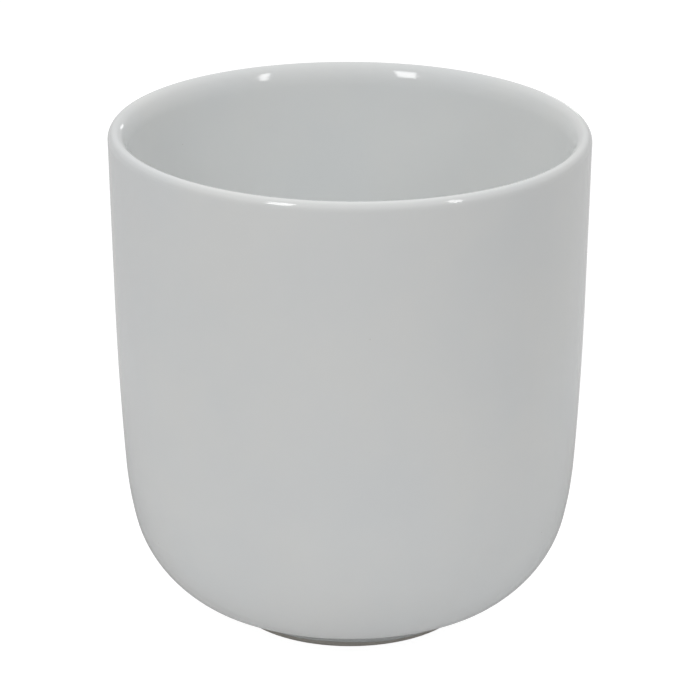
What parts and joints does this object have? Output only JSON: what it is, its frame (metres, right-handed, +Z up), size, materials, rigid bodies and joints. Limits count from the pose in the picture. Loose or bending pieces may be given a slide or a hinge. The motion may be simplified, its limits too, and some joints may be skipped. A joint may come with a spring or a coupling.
{
  "type": "pen holder cup",
  "caption": "Round handleless porcelain desk cup that stands on a low foot ring and holds pens; glazed all over except the foot's bearing face.",
  "frame": {"origin": "centre of the foot ring's bearing face, on the cup's axis", "axes": "+Z up along the cup's axis of revolution; X and Y are free, because the cup is round"},
  "size_m": [0.085, 0.085, 0.0906],
  "materials": {
    "bisque": "matt, unglazed fired porcelain; seen only on the foot ring's bearing face",
    "glaze": "smooth glossy transparent-white glaze"
  },
  "bodies": {
    "root": {"porcelain_body": "bisque", "glaze_coat": "glaze", "base_glaze": "glaze"}
  },
  "joints": []
}
